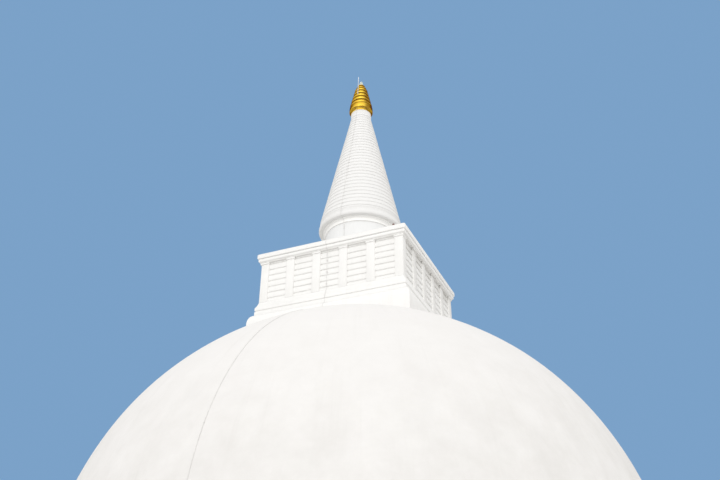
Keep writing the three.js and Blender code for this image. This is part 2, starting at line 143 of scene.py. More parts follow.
# A node group with its vector input, further inputs and their values, and its outputs
def newGroup(name, inputs, outputs):
    group = bpy.data.node_groups.new(name, "ShaderNodeTree")
    for label, value in {"Vector": (0, 0, 0), **inputs}.items():
        kind = {3: "Vector", 4: "Color"}[len(value)] if isinstance(value, tuple) else "Float"
        socket = group.interface.new_socket(label, in_out="INPUT", socket_type="NodeSocket" + kind)
        socket.default_value = value
    for label, kind in outputs.items():
        group.interface.new_socket(label, in_out="OUTPUT", socket_type="NodeSocket" + kind)
    return group, group.nodes.new("NodeGroupInput").outputs, group.nodes.new("NodeGroupOutput").inputs


# Plaster: broad clouding of the limewash, brushed coats and fine grain
def makeLimewashGroup():
    group, given, result = newGroup("limewashCoat", {
        "Coat": (1, 1, 1, 1), "Thin Coat": (1, 1, 1, 1), "Clouding": 0.3,
    }, {"Color": "Color", "Height": "Float", "Wear": "Float"})
    place = given["Vector"]
    broad = noiseNode(group, place, 0.22, 5, 0.6, 0.4)
    patchy = noiseNode(group, place, 1.1, 4, 0.62, 0.8)
    clouds = mathNode(group, "MULTIPLY", rampNode(group, broad, [(0.35, 0), (0.72, 1)]),
                      rampNode(group, patchy, [(0.38, 0), (0.7, 1)]))
    amount = mathNode(group, "MULTIPLY", clouds, given["Clouding"], clamp=True)
    # The brush went along the surface, so its marks are flat
    brushMap = addNode(group, "ShaderNodeMapping", {"Scale": (2.2, 2.2, 11), "Vector": place})
    brush = noiseNode(group, brushMap.outputs[0], 1.6)
    trowel = noiseNode(group, place, 0.75, 2, 0.45)
    grain = noiseNode(group, place, 26)
    height = weightedSum(group, [(trowel, 1.0), (brush, 0.175), (grain, 0.06)])
    feed(group, result["Color"], mixColour(group, amount, given["Coat"], given["Thin Coat"]))
    feed(group, result["Height"], height)
    feed(group, result["Wear"], patchy)
    return group


# Streaks that run down a wall or a round surface: the pattern is stretched along Z
def makeStreakGroup():
    group, given, result = newGroup("rainStreaks", {"Fineness": 3.0, "Stretch": 0.08}, {"Mask": "Float"})
    parts = addNode(group, "ShaderNodeSeparateXYZ", {0: given["Vector"]}).outputs
    lowered = mathNode(group, "MULTIPLY", parts["Z"], given["Stretch"])
    together = addNode(group, "ShaderNodeCombineXYZ", {"X": parts["X"], "Y": parts["Y"], "Z": lowered})
    scaled = vectorNode(group, "SCALE", {0: together.outputs[0], "Scale": given["Fineness"]})
    lines = noiseNode(group, scaled, 1.0, 4, 0.7)
    broken = noiseNode(group, given["Vector"], 0.5, roughness=0.6)
    mask = mathNode(group, "MULTIPLY", rampNode(group, lines, [(0.5, 0), (0.78, 1)]),
                    rampNode(group, broken, [(0.4, 0), (0.68, 1)]))
    feed(group, result["Mask"], mask)
    return group


# Directions round the axis, so that streaks on a round piece run down it without a seam
def makeAroundGroup():
    group, given, result = newGroup("aroundAxis", {"Girth": 8.0}, {"Vector": "Vector"})
    flat = vectorNode(group, "MULTIPLY", {0: given["Vector"], 1: (1, 1, 0)})
    way = vectorNode(group, "NORMALIZE", {0: flat})
    wide = vectorNode(group, "SCALE", {0: way, "Scale": given["Girth"]})
    rise = vectorNode(group, "MULTIPLY", {0: given["Vector"], 1: (0, 0, 1)})
    feed(group, result["Vector"], vectorNode(group, "ADD", {0: wide, 1: rise}))
    return group


# Dust and algae, and painted shade in recesses, under ledges and on the shaded side, where the piece's own
# attribute says
def makeGrimeAndShadeGroup():
    group, given, result = newGroup("settledGrimeAndShade", {"Amount": 0.5, "Breakup": 2.0}, {"Mask": "Float"})
    gathered = addNode(group, "ShaderNodeAttribute", attribute_name="grimeAndShade")
    specks = noiseNode(group, given["Vector"], given["Breakup"], 5, 0.68)
    uneven = rampNode(group, specks, [(0.3, 0.25), (0.68, 1)])
    held = mathNode(group, "MULTIPLY", gathered.outputs["Fac"], uneven)
    feed(group, result["Mask"], mathNode(group, "MULTIPLY", held, given["Amount"], clamp=True))
    return group


limewashGroup = makeLimewashGroup()
streakGroup = makeStreakGroup()
aroundGroup = makeAroundGroup()
grimeAndShadeGroup = makeGrimeAndShadeGroup()


def newMaterial(name):
    material = bpy.data.materials.new(name)
    material.use_nodes = True
    return material, material.node_tree


def objectPlace(tree):
    return tree.nodes.new("ShaderNodeTexCoord").outputs["Object"]


def groupNode(tree, group, values):
    return addNode(tree, "ShaderNodeGroup", values, node_tree=group).outputs


def dressShader(tree, values):
    shader = tree.nodes["Principled BSDF"]
    for key, value in values.items():
        feed(tree, shader.inputs[key], value)


plasterLook = {
    "coat": (0.86, 0.855, 0.842), "thinCoat": (0.79, 0.775, 0.75),
    "streakColour": (0.47, 0.45, 0.41, 1), "grimeAndShadeColour": (0.33, 0.31, 0.27, 1),
    "roughness": 0.8, "wearRoughness": 0.12, "specular": 0.25, "bumpDepth": 0.02,
}


def plasterMaterial(name, clouding, streaks, fineness, stretch, grimeAndShade, breakup, girth=None, bump=0.35,
                    tone=(1, 1, 1)):
    def toned(colour):
        return (*(part * shade for part, shade in zip(colour, tone)), 1)

    material, tree = newMaterial(name)
    place = objectPlace(tree)
    coat = groupNode(tree, limewashGroup, {
        "Coat": toned(plasterLook["coat"]), "Thin Coat": toned(plasterLook["thinCoat"]),
        "Clouding": clouding, "Vector": place,
    })
    down = groupNode(tree, aroundGroup, {"Girth": girth, "Vector": place})["Vector"] if girth else place
    rain = groupNode(tree, streakGroup, {"Fineness": fineness, "Stretch": stretch, "Vector": down})
    rainAmount = mathNode(tree, "MULTIPLY", rain["Mask"], streaks)
    colour = mixColour(tree, rainAmount, coat["Color"], plasterLook["streakColour"])
    # The grime colour is also painted shade where the piece's attribute marks recesses, undersides or the
    # shaded side
    dirtAndShade = groupNode(tree, grimeAndShadeGroup, {"Amount": grimeAndShade, "Breakup": breakup, "Vector": place})
    dressShader(tree, {
        "Base Color": mixColour(tree, dirtAndShade["Mask"], colour, plasterLook["grimeAndShadeColour"]),
        "Roughness": mathNode(tree, "MULTIPLY_ADD", coat["Wear"], plasterLook["wearRoughness"],
                              plasterLook["roughness"]),
        "Specular IOR Level": plasterLook["specular"],
        "Normal": reliefNode(tree, coat["Height"], bump, plasterLook["bumpDepth"]),
    })
    return material


def gildingMaterial():
    look = {
        "bright": (0.96, 0.71, 0.09, 1), "warm": (0.82, 0.46, 0.055, 1), "groove": (0.27, 0.14, 0.02, 1),
        "edge": (0.16, 0.06, 0.012, 1), "roughness": 0.42, "grimeAndShade": 1.1, "breakup": 7.0,
    }
    material, tree = newMaterial("gildedLeaf")
    place = objectPlace(tree)
    drift = noiseNode(tree, place, 3.2, 4, 0.6, 0.6)
    leaves = cellNode(tree, place, 9.0, randomness=0.35, distance="CHEBYCHEV")
    drifting = rampNode(tree, drift, [(0.36, 0), (0.68, 1)])
    blend = weightedSum(tree, [(leaves, 0.35), (drifting, 0.5)], clamp=True)
    colour = mixColour(tree, blend, look["bright"], look["warm"])
    # The groove colour darkens the ring grooves, and as painted shade it also darkens the cove under the lip
    # and the side toward the right
    dirtAndShade = groupNode(tree, grimeAndShadeGroup, {
        "Amount": look["grimeAndShade"], "Breakup": look["breakup"], "Vector": place,
    })
    colour = mixColour(tree, dirtAndShade["Mask"], colour, look["groove"])
    # Painted shade: the leaf's colour turns dark brown where its surface turns away from the view, standing
    # in for dark reflections at its edges
    facing = addNode(tree, "ShaderNodeLayerWeight", {"Blend": 0.5}).outputs["Facing"]
    paintedEdgeShade = rampNode(tree, facing, [(0.36, 0), (0.58, 0.62), (0.77, 1)])
    dressShader(tree, {
        "Base Color": mixColour(tree, paintedEdgeShade, colour, look["edge"]),
        "Specular Tint": look["edge"],
        "Metallic": 1.0,
        "Roughness": mathNode(tree, "MULTIPLY_ADD", noiseNode(tree, place, 22), 0.16, look["roughness"]),
        "Normal": reliefNode(tree, noiseNode(tree, place, 5.0, 2), 0.35, 0.012),
    })
    return material


def crystalMaterial():
    material, tree = newMaterial("cutCrystal")
    veil = noiseNode(tree, objectPlace(tree), 14, 4, 0.6, 1.0)
    dressShader(tree, {
        "Base Color": mixColour(tree, rampNode(tree, veil, [(0.4, 0), (0.7, 1)]),
                                (0.66, 0.74, 0.66, 1), (0.86, 0.89, 0.83, 1)),
        "Roughness": rampNode(tree, veil, [(0.3, 0.04), (0.75, 0.16)]),
        "Transmission Weight": 0.75,
        "IOR": 1.54,
    })
    return material


def metalMaterial(name, bright, dull, roughness, metallic=0.0, scale=9.0):
    material, tree = newMaterial(name)
    place = objectPlace(tree)
    spangle = cellNode(tree, place, scale * 4)
    dulling = noiseNode(tree, place, scale, 4, 0.65)
    dulled = rampNode(tree, dulling, [(0.35, 0), (0.7, 1)])
    blend = weightedSum(tree, [(spangle, 0.3), (dulled, 0.7)], clamp=True)
    dressShader(tree, {
        "Base Color": mixColour(tree, blend, bright, dull),
        "Metallic": metallic,
        "Roughness": mathNode(tree, "MULTIPLY_ADD", dulling, 0.25, roughness),
        "Normal": reliefNode(tree, dulling, 0.2, 0.004),
    })
    return material


plasters = {
    "dome": {"clouding": 0.3, "streaks": 0.16, "fineness": 2.4, "stretch": 0.05, "grimeAndShade": 0.35,
             "breakup": 0.9, "girth": 10.6, "bump": 0.45, "tone": (0.955, 0.945, 0.945)},
    "terrace": {"clouding": 0.45, "streaks": 0.3, "fineness": 2.2, "stretch": 0.12, "grimeAndShade": 0.75,
                "breakup": 1.2, "girth": 11.8, "bump": 0.5, "tone": (0.95, 0.94, 0.93)},
    "wall": {"clouding": 0.25, "streaks": 0.12, "fineness": 2.6, "stretch": 0.1, "grimeAndShade": 0.9,
             "breakup": 2.2},
    "drum": {"clouding": 0.35, "streaks": 0.25, "fineness": 3.2, "stretch": 0.12, "grimeAndShade": 0.5,
             "breakup": 2.6, "girth": 1.7, "tone": (0.955, 0.965, 0.98)},
    "ring": {"clouding": 0.25, "streaks": 0.1, "fineness": 4.0, "stretch": 0.1, "grimeAndShade": 0.5,
             "breakup": 3.0, "girth": 1.6, "bump": 0.25, "tone": (0.92, 0.92, 0.925)},
    # The moulding's lighter tone is painted light: it brightens the moulding where the roll above shades it
    "moulding": {"clouding": 0.15, "streaks": 0.08, "fineness": 4.0, "stretch": 0.1, "grimeAndShade": 0.4,
                 "breakup": 3.0, "girth": 1.7, "bump": 0.25, "tone": (1.075, 1.075, 1.075)},
}
looks = {name: [plasterMaterial(name + "Plaster", **values)] for name, values in plasters.items()}
looks["gilding"] = [gildingMaterial()]
looks["crystal"] = [crystalMaterial()]
looks["galvanised"] = [metalMaterial("dullGalvanised", (0.84, 0.85, 0.86, 1), (0.6, 0.61, 0.62, 1), 0.4,
                                     metallic=1.0)]
looks["paintedStrip"] = [metalMaterial("limewashedStrip", (0.8, 0.79, 0.77, 1), (0.62, 0.61, 0.6, 1), 0.65,
                                       scale=5.0)]
looks["lamp"] = [
    metalMaterial("lampHousing", (0.17, 0.065, 0.045, 1), (0.10, 0.045, 0.035, 1), 0.5),
    metalMaterial("lampLens", (0.32, 0.36, 0.36, 1), (0.22, 0.24, 0.25, 1), 0.12),
]


# How near a distance is to nothing: 1 there, and 0 from the given spread on
def near(distance, spread):
    return max(0.0, 1 - distance / spread)


# Mesh helpers

sharpAngle = 0.6


def turnedBy(turn):
    return Matrix.Rotation(turn, 4, "Z")


def moveAll(bm, matrix):
    bmesh.ops.transform(bm, matrix=matrix, verts=bm.verts[:])


def noiseOffset(seed):
    return Vector((seed * 17.3, seed * 9.1, seed * 5.7))


def wobble(bm, amount, size, seed):
    offset = noiseOffset(seed)
    bm.normal_update()
    for vert in bm.verts:
        push = noise.noise(vert.co / size + offset)
        vert.co += vert.normal * push * amount


def bevel(bm, geom, offset, segments=2, affect="EDGES"):
    bmesh.ops.bevel(bm, geom=geom, offset=offset, offset_type="OFFSET", segments=segments, profile=0.5,
                    affect=affect, material=-1)


def bevelAround(bm, verts, offset, segments=2):
    if offset:
        bevel(bm, list({edge for vert in verts for edge in vert.link_edges}), offset, segments)


def meshFrom(name, bm):
    mesh = bpy.data.meshes.new(name)
    bm.to_mesh(mesh)
    bm.free()
    return mesh


def newObject(name, data):
    made = bpy.data.objects.new(name, data)
    bpy.context.scene.collection.objects.link(made)
    return made


def finishPiece(name, bm, look, node, smoothAngle=40, grimeAndShade=None):
    bm.normal_update()
    mesh = meshFrom(name, bm)
    for face in mesh.polygons:
        face.use_smooth = True
    mesh.set_sharp_from_angle(angle=math.radians(smoothAngle))
    piece = newObject(name, mesh)
    for material in looks[look]:
        mesh.materials.append(material)
    # Each point's value holds real dirt and painted shade together
    if grimeAndShade:
        layer = mesh.attributes.new("grimeAndShade", "FLOAT", "POINT")
        for index, vert in enumerate(mesh.vertices):
            layer.data[index].value = max(0.0, min(1.0, grimeAndShade(vert.co, vert.normal)))
    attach(piece, "root")
    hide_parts(node)


# A profile of [radius, height] corners in the XZ plane; the corners between its ends are softened
def profileWire(bm, corners, soft=0):
    verts = [bm.verts.new((radius, 0, z)) for radius, z in corners]
    for first, second in zip(verts, verts[1:]):
        bm.edges.new((first, second))
    if soft:
        bevel(bm, verts[1:-1], soft, 3, "VERTICES")


def spinWire(bm, steps):
    bmesh.ops.spin(bm, geom=bm.verts[:] + bm.edges[:], cent=(0, 0, 0), axis=upAxis, dvec=(0, 0, 0),
                   angle=fullTurn, steps=steps, use_merge=True)
    bmesh.ops.remove_doubles(bm, verts=bm.verts[:], dist=0.0004)
    bmesh.ops.recalc_face_normals(bm, faces=bm.faces[:])


# Points on a shallow curve between two corners, bulging by part of its chord
def arcCorners(start, end, bulge, steps):
    corners = []
    for index in range(steps + 1):
        t = index / steps
        side = 4 * bulge * t * (1 - t)
        dx, dz = end[0] - start[0], end[1] - start[1]
        corners.append((start[0] + dx * t + dz * side, start[1] + dz * t - dx * side))
    return corners


# Points on part of an ellipse, between two angles above the horizontal
def ellipseCorners(centre, reach, rise, fromDegrees, toDegrees, steps):
    corners = []
    for index in range(steps + 1):
        turn = math.radians(fromDegrees + (toDegrees - fromDegrees) * index / steps)
        corners.append((centre[0] + reach * math.cos(turn), centre[1] + rise * math.sin(turn)))
    return corners


# The unevenness is an amount, a size and a seed
def roundPiece(name, corners, look, node, steps, soft=0, uneven=None, grimeAndShade=None, smoothAngle=40):
    bm = bmesh.new()
    profileWire(bm, corners, soft)
    spinWire(bm, steps)
    if uneven:
        wobble(bm, *uneven)
    finishPiece(name, bm, look, node, smoothAngle, grimeAndShade)


# A square piece from [half width, height] corners, with worn profile edges and mitres
def squarePiece(name, corners, worn, arris, node, grimeAndShade):
    bm = bmesh.new()
    profileWire(bm, [(half * math.sqrt(2), z) for half, z in corners])
    moveAll(bm, turnedBy(math.radians(45)))
    spinWire(bm, 4)

    def onMitre(edge):
        places = [vert.co for vert in edge.verts]
        return all(abs(abs(at.x) - abs(at.y)) < 1e-4 and abs(at.x) > 0.5 for at in places)

    def sharpEdges(mitre):
        return [edge for edge in bm.edges if onMitre(edge) == mitre and edge.calc_face_angle(0) > sharpAngle]

    bevel(bm, sharpEdges(False), worn)
    bevel(bm, sharpEdges(True), arris)
    finishPiece(name, bm, "wall", node, grimeAndShade=grimeAndShade)


def blockIn(bm, low, high, arris, segments=2):
    made = bmesh.ops.create_cube(bm, size=1.0)
    low, high = Vector(low), Vector(high)
    shape = Matrix.Translation((low + high) / 2) @ Matrix.Diagonal((*(high - low), 1))
    bmesh.ops.transform(bm, matrix=shape, verts=made["verts"])
    bevelAround(bm, made["verts"], arris, segments)


# A face from its corners, pushed along a vector; the corners of both ends are given back
def pushedIn(bm, places, way):
    verts = [bm.verts.new(place) for place in places]
    pushed = bmesh.ops.extrude_face_region(bm, geom=[bm.faces.new(verts)])
    moved = [item for item in pushed["geom"] if isinstance(item, bmesh.types.BMVert)]
    bmesh.ops.translate(bm, vec=way, verts=moved)
    return verts + moved


# A hexagonal bolt head, placed by a matrix
def boltIn(bm, footRadius, topRadius, shape):
    bolt = bmesh.ops.create_cone(bm, cap_ends=True, segments=6, radius1=footRadius, radius2=topRadius,
                                 depth=0.006)
    bmesh.ops.transform(bm, matrix=shape, verts=bolt["verts"])


# Base course and terraces

terraceNames = ("lower_terrace", "middle_terrace", "upper_terrace")
terrace = {
    "steps": 256, "soft": 0.022, "uneven": 0.006, "unevenSize": 1.8, "stripRoom": 0.014,
    "foot": {"height": 0.12, "projection": 0.08}, "coping": {"height": 0.17, "projection": 0.07},
}


def ledgeGrime(footZ, topZ, footHeight=0.35):
    def rule(place, normal):
        underCoping = near(abs(place.z - (topZ - 0.24)), 0.12) * 0.5
        return max(near(place.z - footZ, footHeight) * 0.9, max(0.0, normal.z) * 0.7, underCoping)
    return rule


def makeBase():
    reach, top = nodeReach("base_plinth") - terrace["stripRoom"], nodeTop("base_plinth")
    roundPiece("base_plinth_course", [(0, 0), (reach, 0), (reach, top - 0.04), (reach - 0.05, top), (0, top)],
               "terrace", "base_plinth", terrace["steps"], soft=0.018, grimeAndShade=ledgeGrime(0, top, 0.4))
    for seed, name in enumerate(terraceNames, 2):
        foot, top = nodeHeights(name)
        footRadius, footTop = nodeReach(name), foot + terrace["foot"]["height"]
        radius = footRadius - terrace["foot"]["projection"]
        copingRadius = radius + terrace["coping"]["projection"]
        copingFoot = top - terrace["coping"]["height"]
        corners = [
            (0, foot), (footRadius, foot), (footRadius, footTop), (radius, footTop + 0.03),
            (radius + 0.004, (foot + top) / 2), (radius, copingFoot), (copingRadius, copingFoot + 0.05),
            (copingRadius, top - 0.03), (copingRadius - 0.06, top), (0, top),
        ]
        roundPiece(name + "_ring", corners, "terrace", name, terrace["steps"], soft=terrace["soft"],
                   uneven=(terrace["uneven"], terrace["unevenSize"], seed),
                   grimeAndShade=ledgeGrime(foot, top))
    stage("base and terraces")


# Dome: part of an ellipse, darker at its very foot, with painted shade that deepens toward its lower part and
# toward the right

dome = {"steps": 256, "rows": 72, "uneven": 0.018, "unevenSize": 3.2, "seed": 5, "centreZ": 3.69,
        "rise": 10.215, "paintedShadeBelow": 12.6, "paintedShadeSpread": 8}


def domeRadiusAt(z):
    return nodeReach("dome") * math.sqrt(max(0.0, 1 - ((z - dome["centreZ"]) / dome["rise"]) ** 2))


def domeHeightAt(radius):
    return dome["centreZ"] + dome["rise"] * math.sqrt(1 - (radius / nodeReach("dome")) ** 2)


def makeDome():
    # Measured once here: the rule below runs for every point
    foot, seat = nodeHeights("dome")
    reach = nodeReach("dome")
    footTurn, seatTurn = [math.degrees(math.asin((z - dome["centreZ"]) / dome["rise"])) for z in (foot, seat)]
    curve = ellipseCorners((0, dome["centreZ"]), reach, dome["rise"], footTurn, seatTurn, dome["rows"])

    def rule(place, normal):
        # Painted shade: darker below a given height and toward the right
        lower = max(0.0, (dome["paintedShadeBelow"] - place.z) / dome["paintedShadeSpread"]) * 0.6
        onRight = max(0.0, place.dot(rightward)) / reach
        return max(near(place.z - foot, 0.5) * 0.7, lower + onRight * 0.15)

    roundPiece("dome_shell", [(0, foot), *curve, (0, seat)], "dome", "dome", dome["steps"],
               uneven=(dome["uneven"], dome["unevenSize"], dome["seed"]), grimeAndShade=rule)
    stage("dome")


# Box above the dome: plinth, base mouldings, cornice and slab

box = {
    "arris": 0.016, "wallHalf": 3.15, "flareFoot": 14.1,
    "shoulder": {"half": 3.262, "height": 0.405},
    "groove": {"half": 3.225, "foot": 13.935, "top": 13.98},
    "cornice": {"filletHalf": 3.205, "filletTop": 16.225, "half": 3.262, "roundTop": 16.29},
}


def shoulderCorners(steps):
    half, height = box["shoulder"]["half"], box["shoulder"]["height"]
    return ellipseCorners((half, nodeTop("box_plinth") - height), nodeReach("box_plinth") - half, height,
                          0, 90, steps)


def corniceCurve(steps):
    cornice = box["cornice"]
    fillet, top = cornice["filletHalf"], cornice["roundTop"]
    return ellipseCorners((fillet, top), cornice["half"] - fillet, top - cornice["filletTop"], -90, 0, steps)


def makeBox():
    plinthHalf, plinthTop = nodeReach("box_plinth"), nodeTop("box_plinth")
    # The plinth goes a little into the uneven dome
    plinthFoot = nodeFoot("box_plinth") - 0.03
    # Dust on the top; painted shade on the side that faces +X
    squarePiece("box_plinth_block",
                [(0, plinthFoot), (plinthHalf, plinthFoot), *shoulderCorners(14), (0, plinthTop)],
                0.008, box["arris"] * 2, "box_plinth",
                lambda place, normal: max(0.0, normal.z - 0.8) * 0.6 + max(0.0, normal.x) * 0.12)

    baseHalf, groove = box["shoulder"]["half"], box["groove"]
    wallFoot = nodeTop("box_base")
    grooveMiddle = (groove["foot"] + groove["top"]) / 2
    flare = arcCorners((baseHalf, box["flareFoot"]), (box["wallHalf"], wallFoot), -0.04, 8)
    corners = [(0, plinthTop), (baseHalf - 0.02, plinthTop), (baseHalf, plinthTop + 0.016),
               (baseHalf, groove["foot"]), (groove["half"], groove["foot"]),
               (groove["half"], groove["top"]), (baseHalf, groove["top"]), *flare, (0, wallFoot)]
    # Painted shade in the groove; dust on upward faces
    squarePiece("box_base_moulding", corners, 0.006, box["arris"], "box_base",
                lambda place, normal: max(near(abs(place.z - grooveMiddle), 0.04) * 0.06,
                                          max(0.0, normal.z) * 0.15))

    foot, top = nodeHeights("cornice")
    half = box["cornice"]["half"]
    corners = [(0, foot), (box["cornice"]["filletHalf"], foot), *corniceCurve(8), (half, top - 0.018),
               (half - 0.03, top - 0.014), (half - 0.03, top), (0, top)]
    # Painted shade on the cornice's undersides
    squarePiece("cornice_moulding", corners, 0.004, box["arris"] / 2, "cornice",
                lambda place, normal: max(0.0, -normal.z) * 0.3)

    half = nodeReach("top_slab")
    foot, top = nodeHeights("top_slab")
    # Dust on the slab's top; faint painted shade on its underside
    squarePiece("top_slab_block", [(0, foot), (half, foot), (half, top - 0.02), (half - 0.03, top), (0, top)],
                0.008, box["arris"] * 2, "top_slab",
                lambda place, normal: max(0.0, normal.z) * 0.4 + max(0.0, -normal.z) * 0.05)

    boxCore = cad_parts["box_core"]
    boxCore.data.materials.clear()
    boxCore.data.materials.append(looks["wall"][0])
    stage("box plinth, base, cornice and slab")


# Panelled walls

walls = {
    "rail": {"pitch": 0.264, "height": 0.214, "depth": 0.034, "lowest": 14.561, "count": 6, "worn": 0.012},
    "panels": 5, "pilasterWidth": 0.354, "recess": 0.08, "backing": 0.04, "overlap": 0.012,
    "cap": {"height": 0.065, "projection": 0.04, "side": 0.015, "arris": 0.005},
    "arris": 0.009,
    # Darker toward the top of each wall below the cornice: partly stains, partly painted shade, strongest on
    # the right side
    "stainAndShade": {"foot": 15.5, "over": 0.5, "front": 0.04, "right": 0.55, "back": 0.2, "left": 0.16},
}
sideTurns = {"front": 0, "right": 90, "back": 180, "left": 270}


# One rail: a section with a flat face and a weathered upper edge, pushed along the panel
def railIn(bm, startX, length, footZ, height, faceY, backY, worn=walls["rail"]["worn"]):
    section = [(backY, 0), (faceY + 0.004, 0), (faceY, 0.006), (faceY, height - worn * 2.2),
               (faceY + worn * 0.3, height - worn), (faceY + worn, height - worn * 0.2),
               (faceY + worn * 1.6, height), (backY, height)]
    pushedIn(bm, [(startX, y, footZ + z) for y, z in section], (length, 0, 0))


def makeWalls():
    foot, top = nodeHeights("rails_front")
    wallHalf, width = box["wallHalf"], walls["pilasterWidth"]
    inner = wallHalf - width
    panelWidth = (2 * inner - (walls["panels"] - 1) * width) / walls["panels"]
    backFace = -(wallHalf - walls["recess"])
    railBack = backFace + 0.01
    rail, cap, side = walls["rail"], walls["cap"], walls["cap"]["side"]
    railFace = backFace - rail["depth"]
    sillTop = rail["lowest"] - (rail["pitch"] - rail["height"])
    lintelFoot = rail["lowest"] + rail["count"] * rail["pitch"]
    capFoot = top - cap["height"]
    postTop = capFoot + walls["overlap"]
    capFace = -(wallHalf + cap["projection"])

    def highStainAndShade(name, place):
        stainAndShade = walls["stainAndShade"]
        return stainAndShade[name] * min(1.0, max(0.0, (place.z - stainAndShade["foot"]) / stainAndShade["over"]))

    # Painted shade in the recess behind the rails and on undersides; dust on upward faces; stains and painted
    # shade high on the wall
    def wallRule(name, turn):
        back = Matrix.Rotation(-turn, 3, "Z")

        def rule(place, normal):
            depth = -(back @ place).y
            recessShade = max(0.0, min(1.0, (-railFace - 0.006 - depth) / 0.02))
            return (recessShade * 0.08 + max(0.0, normal.z) * 0.12 + max(0.0, -normal.z) * 0.04
                    + highStainAndShade(name, place))
        return rule

    # Darker at the foot; painted shade on undersides; stains and painted shade high on the post
    def postRule(name):
        return lambda place, normal: (near(place.z - foot, 0.15) * 0.1 + max(0.0, -normal.z) * 0.08
                                      + highStainAndShade(name, place) * 0.8)

    def finishTurned(name, bm, node, turn, rule):
        bmesh.ops.recalc_face_normals(bm, faces=bm.faces[:])
        moveAll(bm, turnedBy(turn))
        finishPiece(name, bm, "wall", node, grimeAndShade=rule)

    for number, (name, degrees) in enumerate(sideTurns.items(), 1):
        turn = math.radians(degrees)
        bm = bmesh.new()
        blockIn(bm, (-inner, backFace, foot), (inner, backFace + walls["backing"], top), 0)
        for panel in range(walls["panels"]):
            panelX = -inner + panel * (panelWidth + width)
            railIn(bm, panelX, panelWidth, foot, sillTop - foot, railFace, railBack)
            railIn(bm, panelX, panelWidth, lintelFoot, top - lintelFoot, railFace, railBack, 0.002)
            for row in range(rail["count"]):
                railFoot = rail["lowest"] + row * rail["pitch"]
                railIn(bm, panelX, panelWidth, railFoot, rail["height"], railFace, railBack)
        finishTurned("rails_" + name + "_relief", bm, "rails_" + name, turn, wallRule(name, turn))

        for index in range(1, walls["panels"]):
            middle = -inner + index * (panelWidth + width) - width / 2
            left, right = middle - width / 2, middle + width / 2
            bm = bmesh.new()
            blockIn(bm, (left, -wallHalf, foot), (right, backFace, postTop), walls["arris"])
            blockIn(bm, (left - side, capFace, capFoot), (right + side, railFace, top), cap["arris"])
            node = f"{name}_pilaster_{index}"
            finishTurned(node + "_post", bm, node, turn, postRule(name))

        bm = bmesh.new()
        blockIn(bm, (inner, -wallHalf, foot), (wallHalf, -inner, postTop), walls["arris"])
        outline = [(inner - side, capFace), (-capFace, capFace), (-capFace, -inner + side),
                   (-railFace, -inner + side), (-railFace, -inner), (inner, -inner), (inner, railFace),
                   (inner - side, railFace)]
        capCorners = pushedIn(bm, [(x, y, capFoot) for x, y in outline], (0, 0, top - capFoot))
        bevelAround(bm, capCorners, cap["arris"])
        node = f"corner_pilaster_{number}"
        finishTurned(node + "_post", bm, node, turn, postRule(name))
    stage("panelled walls")


# Drum, its moulding and the roll under the spire

drum = {
    "radius": 1.56, "uneven": 0.006, "steps": 160, "rows": 24,
    "fillet": {"radius": 1.607, "height": 0.11}, "moulding": {"radius": 1.7, "edge": 0.043},
    "roll": {"centre": 1.832, "reach": 0.066, "rise": 0.11},
}
cone = {
    "slope": 0.215, "apexZ": 27.692, "ringStep": 0.022, "rings": 32, "shrink": 0.9918, "steps": 144,
    "stages": {"spire_lower": (0, 11), "spire_middle": (11, 22), "spire_upper": (22, 32)},
}


def coneRadiusAt(z):
    return cone["slope"] * (cone["apexZ"] - z)


# Where a ring starts between two heights, when each ring is a little lower than the one below it
def ringStart(foot, top, ring, rings, shrink):
    return foot + (top - foot) * ((1 - shrink ** ring) / (1 - shrink ** rings))


def ringFootAt(ring):
    return ringStart(nodeFoot("spire_lower"), nodeFoot("spire_neck"), ring, cone["rings"], cone["shrink"])


def mouldingCorners():
    foot, top = nodeFoot("drum_moulding"), nodeFoot("spire_foot")
    fillet, moulding = drum["fillet"], drum["moulding"]
    hollow = arcCorners((fillet["radius"], foot + fillet["height"]),
                        (moulding["radius"], top - moulding["edge"]), -0.2, 10)
    return [(fillet["radius"], foot), *hollow, (moulding["radius"], top)]


def rollCorners(fromDegrees, toDegrees, steps):
    roll = drum["roll"]
    centre = (roll["centre"], nodeFoot("spire_foot") + roll["rise"])
    return ellipseCorners(centre, roll["reach"], roll["rise"], fromDegrees, toDegrees, steps)


def makeDrum():
    foot, top = nodeHeights("drum")
    side = [(drum["radius"], foot + (top - foot) * row / drum["rows"]) for row in range(drum["rows"] + 1)]

    def drumRule(place, normal):
        return near(place.z - foot, 0.3) * 0.5 + near(top - place.z, 0.12) * 0.2

    roundPiece("drum_wall", [(0, foot), *side, (0, top)], "drum", "drum", drum["steps"],
               uneven=(drum["uneven"], 0.9, 7), grimeAndShade=drumRule)

    corners = mouldingCorners()
    roundPiece("drum_moulding_ring", [(0, corners[0][1]), *corners, (0, corners[-1][1])], "moulding",
               "drum_moulding", drum["steps"], uneven=(0.003, 0.8, 8))

    rollFoot, rollTop = nodeHeights("spire_foot")
    corners = [(0, rollFoot), *rollCorners(-90, 90, 18), (drum["roll"]["centre"], rollTop), (0, rollTop)]
    # Faint painted shade on the roll's underside
    roundPiece("spire_foot_roll", corners, "ring", "spire_foot", drum["steps"], uneven=(0.003, 0.7, 9),
               grimeAndShade=lambda place, normal: max(0.0, -normal.z - 0.5) * 0.05)
    stage("drum and mouldings")


# Ringed spire: the lowest ring has a hollow face that flares out, the others are rounded

lowestRing = [(0.063, 0.002), (0.069, 0.018), (0.062, 0.056), (0.044, 0.097), (0.016, 0.135), (0.001, 0.155),
              (0.002, 0.172), (0.012, 0.205), (0.024, 0.224)]


